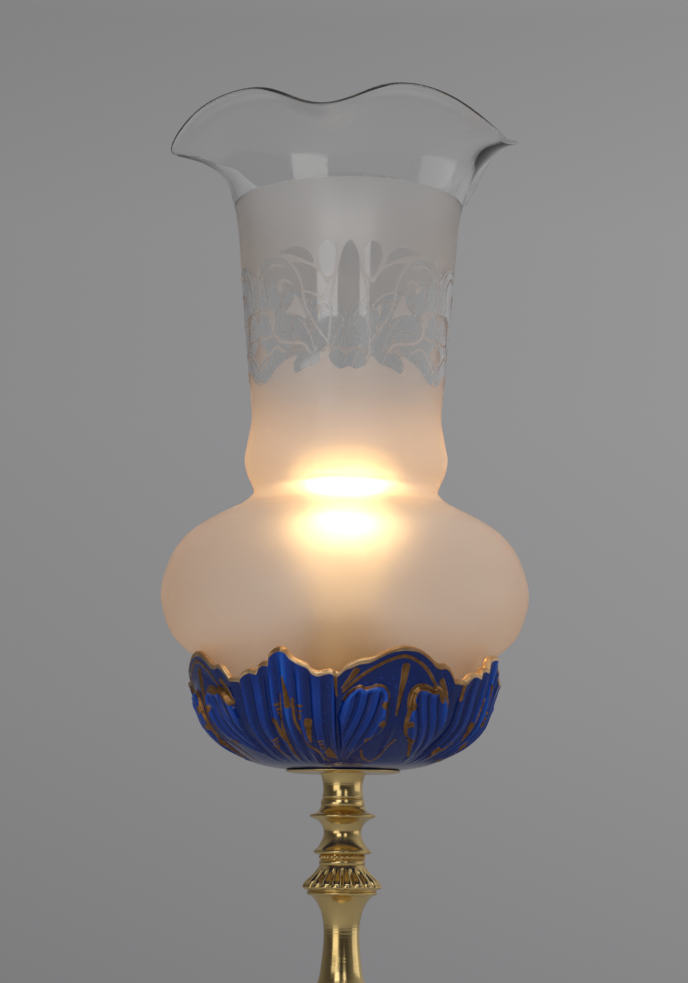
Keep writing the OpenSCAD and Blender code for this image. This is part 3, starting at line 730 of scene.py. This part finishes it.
def bowl_details(direction, height, top):
    """Relief in mm, gilding and rim masks, a depth mask of painted shade towards the bottom, and a ridge mask
    of glaze and painted light, on the outer wall.
    """
    wall = Wall()
    shell, arch = leaf_angles(direction)
    on_shell = np.abs(shell) <= SHELL_HALF
    xs, y = wall.flat(shell, height)
    xa, _ = wall.flat(arch, height)
    _, y_top = wall.flat(0 * direction, top)
    below = y_top - y
    foot = ramp((height - 1.0) / 9.0)
    gilt = np.zeros(height.shape)
    relief = np.zeros(height.shape)

    # shell leaves stand a little proud, with rounded flutes that run to the foot
    step = ramp((SHELL_HALF - np.abs(shell)) / 0.9)
    flutes = np.cos(np.radians((shell + 0.9 * np.sin(np.radians(shell * 9))) * 180.0 / 6.2)) ** 2
    flutes = 0.75 * flutes + 0.25 * np.cos(np.radians(shell * 180.0 / 2.6)) ** 2
    relief += step * foot * (0.85 + 2.0 * (flutes - 0.5) * (0.35 + 0.65 * ramp(below / 10)))
    relief += step * foot * 1.0 * np.exp(-((shell / 3.4) ** 2)) * ramp((height - 8) / 20)
    # arched leaves: a smooth hollow panel above two raised lobes
    on_arch = 1 - step
    relief += on_arch * foot * (-0.3)
    lobes = np.zeros(height.shape)
    for flip in (1, -1):
        outline = LOBE_TOP + LOBE_SIDE[1:] + LOBE_FOOT[1:] + [(-21.0, 1.0), (-23.5, 1.0), (-23.5, 20.0),
                                                              (-22.2, 25.0)]
        points = np.array([wall.flat(flip * a, h) for a, h in outline])
        d = depth_inside(xa, y, points)
        body = ramp(d / 1.4 + 0.35)
        roll = np.exp(-(((d - 1.4) / 1.1) ** 2)) * ramp((height - 14) / 12)
        bend = 0.012 * np.clip(34 - height, 0, None) ** 2
        grooves = np.cos(np.radians((flip * arch + bend) * 180.0 / 4.6)) ** 2
        grooves = 0.7 * grooves + 0.3 * np.cos(np.radians((flip * arch + bend) * 180.0 / 2.1)) ** 2
        lobes = np.maximum(lobes, body * (1.35 + 1.0 * roll + 1.5 * (grooves - 0.5) * ramp(d / 3)))
    relief += on_arch * foot * lobes
    middle = stroke(xa, y, wall.path([(0.2, 41), (-0.5, 28), (-0.8, 14), (-0.6, 4)]), 2.4, 1.2, 1.2)
    relief += on_arch * foot * 0.5 * middle * (1 - ramp(lobes))

    def paint(side_x, where, line, width, end=None, raised=0.28):
        nonlocal gilt, relief
        mark = stroke(side_x, y, line, 1.25 * width, 1.25 * (width if end is None else end)) * where
        gilt = np.maximum(gilt, mark)
        relief = relief + raised * mark * foot

    shell_area = on_shell.astype(float)
    arch_area = 1.0 - shell_area
    # shell leaf: drop on the spine, two long lines, rows of dashes, and comma strokes
    paint(xs, shell_area, wall.path([(-0.5, 37.4), (0.1, 33.5), (0.5, 29.5), (0.8, 25.6)]), 0.9, 1.9)
    paint(xs, shell_area, wall.path([(-2.0, 30.5), (-2.6, 25), (-3.4, 18), (-4.0, 12.6), (-4.6, 8), (-5.2,
                                                                                                     3.6)]),
                                                                                                     0.7, 0.6)
    paint(xs, shell_area, wall.path([(2.6, 27.8), (2.5, 18.5), (3.5, 14), (5.2, 9.8), (8.4, 6), (12.4,
                                                                                                 2.8)]),
                                                                                                 1.0, 0.8)
    for row, (side, start, drop) in enumerate(((-1, -3.4, 25.8), (1, 5.0, 25.2), (-1, -10.4, 11.2), (1,
                                                                                                     11.4,
                                                                                                     10.7))):
        for k in range(5):
            reach = (1.55 - 0.3 * k) * (1.0 if row < 2 else 0.95)
            h = drop - (2.5 - 0.28 * k) * k * (1.0 if row < 2 else 0.52)
            a = start + side * (-0.12) * k + (side * 0.35 * k if row >= 2 else 0)
            paint(xs, shell_area, np.array([wall.flat(a - reach * 0.62, h), wall.flat(a + reach * 0.62,
                                                                                      h)]), 1.0, 0.8)
    paint(xs, shell_area, wall.path([(-6.2, 19.0), (-5.7, 16.4), (-5.0, 13.4), (-4.6, 11.0)]), 2.6, 0.5)
    paint(xs, shell_area, wall.path([(7.6, 18.4), (7.4, 15.6), (7.0, 12.8), (6.8, 9.8)]), 2.6, 0.6)
    paint(xs, shell_area, wall.path([(-13.6, 8.2), (-12.4, 6.4), (-10.6, 4.4)]), 2.0, 0.5)
    paint(xs, shell_area, wall.path([(14.4, 6.6), (15.4, 4.6)]), 2.9, 3.3, 0.6)
    # arched leaf: inner arch, central drop, corner commas
    arch_line = [(-21.4, 30.8), (-18.9, 33.7), (-14.4, 38.2), (-9.2, 42.2), (-4.2, 45.2), (0.4, 46.6), (4.6,
                                                                                                        45.2),
                 (8.6, 42.3), (12.2, 38.0), (15.2, 33.4), (18.0, 28.2)]
    paint(xa, arch_area, wall.path(arch_line), 1.2, 1.2)
    paint(xa, arch_area, wall.path([(1.2, 41.9), (0.9, 38), (0.2, 31.7), (-0.7, 21.4)]), 3.1, 0.7)
    paint(xa, arch_area, wall.path([(-17.0, 39.8), (-19.2, 36.2), (-21.8, 32.4)]), 2.3, 0.8)
    paint(xa, arch_area, wall.path([(17.0, 36.6), (18.9, 34.0), (21.0, 30.8)]), 2.3, 0.8)
    for flip, top_width, side_width in ((1, 0.9, 0.9), (-1, 2.5, 1.1)):
        edge = [(flip * a, h) for a, h in LOBE_TOP]
        side_line = [(flip * a, h) for a, h in LOBE_SIDE + LOBE_FOOT[1:]]
        paint(xa, arch_area, wall.path(edge), top_width, top_width * 0.9, 0.35)
        paint(xa, arch_area, wall.path(side_line), side_width, side_width * 0.8)
        for a, h in ((-5.6, 25.8), (-5.9, 17.8), (-10.4, 11.0)):
            d = np.hypot(*(np.array(wall.flat(flip * a, h)).reshape(2, 1, 1) - np.stack([xa, y])))
            knob = ramp((1.7 - d) / 0.5 + 0.5) * arch_area
            gilt = np.maximum(gilt, knob)
            relief = relief + 0.35 * knob
    paint(xa, arch_area, wall.path([(-12.0, 6.2), (-9.0, 3.6), (-4.0, 2.8), (-0.8, 4.4), (0.8, 7.6), (3.0,


                                                                                                    10.6)]),
                                                                                                    0.8, 0.8)
    # the notch between two leaves is lined in gold for a short way down
    for edge_at in (-SHELL_HALF, SHELL_HALF):
        paint(xs, 1.0, wall.path([(edge_at, 38.6), (edge_at, 33.0), (edge_at + 0.3, 29.0)]), 1.3, 0.6, 0.0)
    ragged = 1.35 + 0.35 * np.sin(np.radians(direction * 17)) * np.sin(np.radians(direction * 7 + 40))
    rim = ramp((ragged + 0.2 - below) / 0.8)
    gilt = np.maximum(gilt, ramp((ragged - below) / 0.6))
    relief += 0.25 * ramp((2.2 - below) / 1.2) - 1.3 * foot * ramp(below / 10)
    # painted shade: depth grows towards the bottom of the bowl
    depth = ramp((30 - height) / 34) * 0.8
    # ridge: relief height, giving darker hollows and lighter ridge tops, as glaze and as painted shade and
    # highlight
    ridge = ramp((relief + 1.3 * foot * ramp(below / 10) + 0.2) / 3.2)
    return relief, gilt, rim, depth, ridge


def make_bowl():
    steps, rows = 960, 168
    wall = Wall()
    directions = (np.arange(steps) * 360.0 / steps)[:, None]
    top = rim_height(directions)
    _, reach = wall.flat(0.0, top)
    share = np.linspace(0, 1, rows + 1)[None, :]
    along = share * reach
    h = np.interp(along, wall.length, wall.line[:, 1])
    r = np.interp(along, wall.length, wall.line[:, 0])
    t = normals_of(wall.line)
    nr = np.interp(along, wall.length, t[:, 0])
    nh = np.interp(along, wall.length, t[:, 1])
    relief, gilt, rim, depth, ridge = bowl_details(directions, h, np.broadcast_to(top, h.shape))
    outer_r, outer_h = r + nr * relief, h + nh * relief
    # the rim is rounded over to the inner wall, which follows the outer one more smoothly
    inner_share = np.linspace(1, 0.06, 40)[None, :]
    ia = inner_share * reach
    ih, ir = np.interp(ia, wall.length, wall.line[:, 1]), np.interp(ia, wall.length, wall.line[:, 0])
    inr, inh = np.interp(ia, wall.length, t[:, 0]), np.interp(ia, wall.length, t[:, 1])
    inner_r, inner_h = ir - BOWL_THICK * inr, np.maximum(ih - BOWL_THICK * inh, 4.2)
    edge = []
    for angle in np.radians((30, 60, 90, 120, 150)):
        f = (1 - math.cos(angle)) / 2
        er = outer_r[:, -1:] * (1 - f) + inner_r[:, :1] * f
        eh = outer_h[:, -1:] * (1 - f) + inner_h[:, :1] * f + 1.15 * math.sin(angle)
        edge.append((er, eh))
    hole = 5.4
    base = [(hole, 1.2), (22.0, 1.2), (23.2, 0.0)]
    loop_r = np.concatenate([np.full((steps, 1), base[0][0]), np.full((steps, 1), base[1][0]),
                             np.full((steps, 1), base[2][0]), outer_r] + [e[0] for e in edge]
                            + [inner_r, np.full((steps, 1), hole)], axis=1)
    loop_h = np.concatenate([np.full((steps, 1), base[0][1]), np.full((steps, 1), base[1][1]),
                             np.full((steps, 1), base[2][1]), outer_h] + [e[1] for e in edge]
                            + [inner_h, np.full((steps, 1), 4.2)], axis=1)
    a = np.radians(directions)
    points = np.stack([loop_r * np.sin(a), -loop_r * np.cos(a), loop_h + PAN_Z / MM], axis=-1) * MM
    pad = np.zeros((steps, 3))
    tail = np.zeros((steps, inner_r.shape[1] + 1))
    lip = np.ones((steps, len(edge)))
    tail_gold = tail.copy()
    tail_gold[:, :4] = 1.0
    attributes = {
        "gilt": np.concatenate([pad, gilt, lip, tail_gold], axis=1),
        "rim": np.concatenate([pad, rim, lip, tail_gold], axis=1),
        # painted shade: the inner wall comes out a darker blue through depth and ridge; the base underneath
        # gets the darkest blue
        "depth": np.concatenate([pad, depth, 0 * lip, tail + 0.2], axis=1),
        "ridge": np.concatenate([pad, ridge, 0 * lip, tail + 0.4], axis=1),
    }
    obj = add_object("leaf_bowl", grid_mesh("leaf_bowl", points, attributes))
    obj.data.materials.append(porcelain_and_gold())
    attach(obj, "stand")
    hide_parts("bowl")


# ---------------------------------------------------------------- turned brass


def from_pan(points):
    return [(r, PAN_Z / MM + h) for r, h in points]


def smooth_turning(*stretches, spacing=0.35):
    """A turned outline: each stretch is smooth, and stretches meet at crisp corners."""
    return joined(*[curve_through(s, spacing) for s in stretches])


def brass_piece(name, outline, node, material):
    lathe(name, outline, "stand", node, material)


def make_stem(brass):
    hole = 5.15
    z = PAN_Z / MM
    neck = smooth_turning(
        from_pan([(hole, -16.2), (9.8, -16.2)]), from_pan([(9.8, -16.2), (9.95, -14.8), (9.75, -13.2)]),
        from_pan([(9.75, -13.2), (9.15, -12.8), (9.1, -12.4), (9.4, -12.0)]),
        from_pan([(9.4, -12.0), (8.95, -9.4), (8.95, -7.4), (9.3, -4.6), (9.9, -2.6), (10.6, -1.4)]),
        from_pan([(10.6, -1.4), (hole, -1.4)]))
    brass_piece("turned_neck", neck, "top_neck", brass)
    knop = smooth_turning(
        from_pan([(hole, -37.6), (11.5, -37.6)]), from_pan([(11.5, -37.6), (12.7, -37.2), (13.0, -36.5),
                                                            (12.7, -35.7)]),
        from_pan([(12.7, -35.7), (11.4, -34.6), (9.8, -32.2), (8.8, -29.8), (8.5, -27.8), (8.8, -25.9),
                  (10.0, -23.8),
                  (12.0, -22.2), (14.2, -21.3)]),
        from_pan([(14.2, -21.3), (14.8, -20.9), (14.9, -20.3), (14.6, -19.8)]),
        from_pan([(14.6, -19.8), (12.7, -19.2), (10.9, -18.0), (9.9, -16.2)]),
        from_pan([(9.9, -16.2), (hole, -16.2)]))
    brass_piece("turned_knop", knop, "upper_knop", brass)
    pan = smooth_turning(
        from_pan([(hole, -1.4), (14, -1.4)]), from_pan([(14, -1.4), (24.6, -1.2), (25.7, -0.9), (26, -0.4),
                                                        (25.7, -0.05)]),
        from_pan([(25.7, -0.05), (25.2, 0.0), (hole, 0.0)]))
    brass_piece("drip_dish", pan, "drip_pan", brass)

    # beaded ring: a plain ring whose outline is pushed out into beads
    beads, steps = 26, 520
    outline = smooth_turning(
        from_pan([(hole, -42.4), (10.2, -42.4)]), from_pan([(10.2, -42.4), (10.5, -41.3), (10.2, -40.4),
                                                            (9.5, -40.0)]),
        from_pan([(9.5, -40.0), (9.5, -38.8), (9.5, -37.6)]), from_pan([(9.5, -37.6), (hole, -37.6)]),
        spacing=0.16)
    pts = around(outline, steps)
    a = np.arange(steps) * 360.0 / steps
    across = np.radians(((a * beads / 360.0 + 0.5) % 1.0 - 0.5) * 360.0 / beads) * 9.7
    up = outline[:, 1] - (z - 38.8)
    lump = np.sqrt(np.maximum(1.1**2 - across[:, None] ** 2 - up[None, :] ** 2, 0))
    on_ring = (outline[:, 0] > 9.4) & (np.abs(up) < 1.25)
    push = np.where(on_ring[None, :], lump, 0) * MM
    radial = np.stack([np.sin(np.radians(a)), -np.cos(np.radians(a)), 0 * a], axis=1)
    pts = pts + push[:, :, None] * radial[:, None, :]
    obj = add_object("beaded_collar", grid_mesh("beaded_collar", pts))
    obj.data.materials.append(brass)
    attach(obj, "stand")
    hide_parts("beaded_ring")

    # gadroon collar: rounded lobes that spread downward over a plain edge
    lobes, steps = 20, 600
    outline = smooth_turning(
        from_pan([(hole, -54.0), (15.4, -54.0)]), from_pan([(15.4, -54.0), (15.7, -53.6), (15.5, -53.2)]),
        from_pan([(15.5, -53.2), (17.0, -53.0), (17.9, -52.2), (17.8, -51.2), (16.6, -49.4), (14.6, -47.6),
                  (12.6, -45.6),
                  (11.2, -43.8), (10.3, -42.4)]),
        from_pan([(10.3, -42.4), (hole, -42.4)]), spacing=0.25)
    out = normals_of(outline)
    hh = outline[:, 1] - z
    strength = ramp((hh + 53.4) / 1.2) * ramp((-43.4 - hh) / 3.0)
    a = np.arange(steps) * 360.0 / steps
    across = 2 * ((a * lobes / 360.0) % 1.0) - 1
    valley = 1 - np.sqrt(np.maximum(1 - across**2, 0))
    depth = 1.7 * valley[:, None] * strength[None, :]
    rr = outline[:, 0][None, :] - depth * out[:, 0][None, :]
    zz = outline[:, 1][None, :] - depth * out[:, 1][None, :]
    ar = np.radians(a)[:, None]
    pts = np.stack([rr * np.sin(ar), -rr * np.cos(ar), zz], axis=-1) * MM
    obj = add_object("gadroon_ring", grid_mesh("gadroon_ring", pts))
    obj.data.materials.append(brass)
    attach(obj, "stand")
    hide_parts("gadroon_collar")

    top = z - 54
    low = FOOT_TOP / MM + 18
    swell = [(9.4, low + 4.2), (9.5, low + 6.4), (11.4, low + 16), (17.0, low + 34), (20.2, low + 52),
             (18.4, low + 70),
             (13.6, top - 46), (10.6, top - 39.8), (8.9, top - 30.3), (8.25, top - 24), (8.05, top - 19.3),
             (8.5, top - 12.7), (9.6, top - 8.3), (12.0, top - 4.0), (14.0, top - 1.9)]
    body = smooth_turning(
        [(hole, low), (12.5, low)], [(12.5, low), (13.0, low + 0.8), (12.9, low + 2.0), (12.0, low + 2.8)],
        [(12.0, low + 2.8), (10.2, low + 3.4), (9.4, low + 4.2)], swell,
        [(14.0, top - 1.9), (15.7, top - 1.3), (15.9, top - 0.6), (15.4, top)], [(15.4, top), (hole, top)])
    brass_piece("turned_baluster", body, "baluster", brass)

    z0 = FOOT_TOP / MM
    lower = smooth_turning(
        [(hole, z0), (15.4, z0)], [(15.4, z0), (16.0, z0 + 0.7), (15.6, z0 + 1.5), (13.6, z0 + 2.4)],
        np.vstack([[(13.6, z0 + 2.4)], arc(9.5, z0 + 8.5, 8.4, -48, 48, 14), [(11.2, z0 + 14.6)]]),
        [(11.2, z0 + 14.6), (11.0, z0 + 15.4), (11.6, z0 + 16.3)],
        [(11.6, z0 + 16.3), (12.3, z0 + 16.7), (12.4, z0 + 17.4), (12.0, z0 + 18)], [(12.0, z0 + 18), (hole,



                                                                                                    z0 + 18)])
    brass_piece("turned_knop_low", lower, "lower_knop", brass)


# ---------------------------------------------------------------- bulb

COIL_RADIUS = 1.7


def make_bulb():
    tip = PAN_Z / MM + 44
    globe = tip + 75
    r = 29.9
    skin = joined(
        curve_through([(12.6, tip + 24), (13.4, tip + 28), (16.2, tip + 35), (20.6, globe - 23.5), (24.19,








                                                                                            globe - 17.57)],
                                                                                            0.8),
        arc(0, globe, r, -36, 88, 60))
    inner = (skin - normals_of(skin) * 1.0)[::-1]
    loop = np.concatenate([skin, inner])
    steps = 160
    pts = around(loop, steps)
    h = loop[:, 1] - globe
    hot = np.exp(-((h / 17.0) ** 2))
    hot = np.broadcast_to(hot[None, :], (steps, len(loop)))
    obj = add_object("pearl_globe", grid_mesh("pearl_globe", pts, {"hot": hot}))
    obj.data.materials.append(pearl_bulb())
    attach(obj, "bulb")
    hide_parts("bulb_glass")


def tube(name, path, radius, sides=10):
    """A round wire along a path of points in mm, with closed ends."""
    t = np.gradient(path, axis=0)
    t /= np.linalg.norm(t, axis=1)[:, None]
    side = np.cross(t, [0.0, 0.0, 1.0])
    small = np.linalg.norm(side, axis=1) < 1e-3
    side[small] = [1.0, 0.0, 0.0]
    side /= np.linalg.norm(side, axis=1)[:, None]
    up = np.cross(side, t)
    a = np.arange(sides) * 2 * math.pi / sides
    ring = radius * (np.cos(a)[None, :, None] * side[:, None, :] + np.sin(a)[None, :, None] * up[:, None, :])
    points = (path[:, None, :] + ring) * MM
    n = len(path)
    faces = [(i * sides + j, i * sides + (j + 1) % sides, (i + 1) * sides + (j + 1) % sides,
              (i + 1) * sides + j)
             for i in range(n - 1) for j in range(sides)]
    faces += [tuple(range(sides))[::-1], tuple((n - 1) * sides + j for j in range(sides))]
    mesh = bpy.data.meshes.new(name)
    mesh.from_pydata(points.reshape(-1, 3).tolist(), [], faces)
    mesh.shade_smooth()
    return mesh


def make_filament():
    centre = PAN_Z / MM + 126.5
    a = np.radians(np.linspace(-125, 125, 700))
    spin = np.linspace(0, 2 * math.pi * 34, 700)
    r = 11.0 + COIL_RADIUS * np.cos(spin)
    path = np.stack([r * np.sin(a), -r * np.cos(a), centre + COIL_RADIUS * np.sin(spin)], axis=1)
    obj = add_object("coiled_filament", tube("coiled_filament", path, 0.42, 8))
    obj.data.materials.append(glowing_wire())
    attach(obj, "bulb")
    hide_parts("filament")


# ---------------------------------------------------------------- everything together


def dress(materials):
    """Gives every CAD node that stays in view its material."""
    for names, material in materials:
        for name in names.split():
            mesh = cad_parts[name].data
            mesh.materials.clear()
            mesh.materials.append(material)


make_camera()
make_surroundings()
brass = polished_brass()
spun = plain_brass()
make_shade()
make_bowl()
make_stem(brass)
make_bulb()
make_filament()
dress([
    ("foot", brass),
    ("riser_collar gallery lampholder_cap lampholder_shell lampholder_ring switch_bezel", spun),
    ("screw_shell centre_contact terminal_screws tube_nut bowl_nut", plain_brass("drawn_brass", 0.4)),
    ("felt_pad", speckled("felt", (0.02, 0.06, 0.03), (0.05, 0.12, 0.06), 0.85, 0.0, 600, 0.8)),
    ("bottom_plate plate_screws tube_washer stem_tube switch_spring",
     speckled("zinc", (0.55, 0.55, 0.57), (0.72, 0.72, 0.74), 0.35, 1.0, 90)),
    ("foot_weight", speckled("cast_iron", (0.05, 0.05, 0.055), (0.11, 0.11, 0.115), 0.6, 0.6, 220, 0.7)),
    ("cord_gland gland_nut switch_body", speckled("black_nylon", (0.015, 0.015, 0.017), (0.03, 0.03, 0.032),
                                                  0.45)),
    ("terminal_block switch_button", speckled("ivory", (0.78, 0.70, 0.54), (0.86, 0.79, 0.64), 0.3, 0.0, 60,
                                              0.08, 0.3)),
    ("bowl_washer", speckled("rubber", (0.02, 0.02, 0.02), (0.05, 0.05, 0.05), 0.7, 0.0, 300, 0.5)),
    ("lampholder_insulator", speckled("white_ceramic", (0.85, 0.84, 0.80), (0.92, 0.91, 0.88), 0.15, 0.0,
                                      40, 0.05, 0.5)),
    ("live_wire switch_wires", speckled("wire_brown", (0.18, 0.07, 0.03), (0.25, 0.10, 0.05), 0.4)),
    ("neutral_wire", speckled("wire_blue", (0.03, 0.11, 0.45), (0.05, 0.16, 0.6), 0.4)),
    ("earth_wire", speckled("wire_green", (0.14, 0.42, 0.06), (0.5, 0.5, 0.06), 0.4)),
    ("bulb_cap bulb_contact", speckled("nickel", (0.70, 0.69, 0.66), (0.82, 0.81, 0.78), 0.25, 1.0, 80, 0.1)),
    ("bulb_insulator", speckled("black_glass", (0.01, 0.008, 0.012), (0.03, 0.025, 0.03), 0.12, 0.0, 50,
                                0.05)),
    ("bulb_stem", clear_glass()),
])
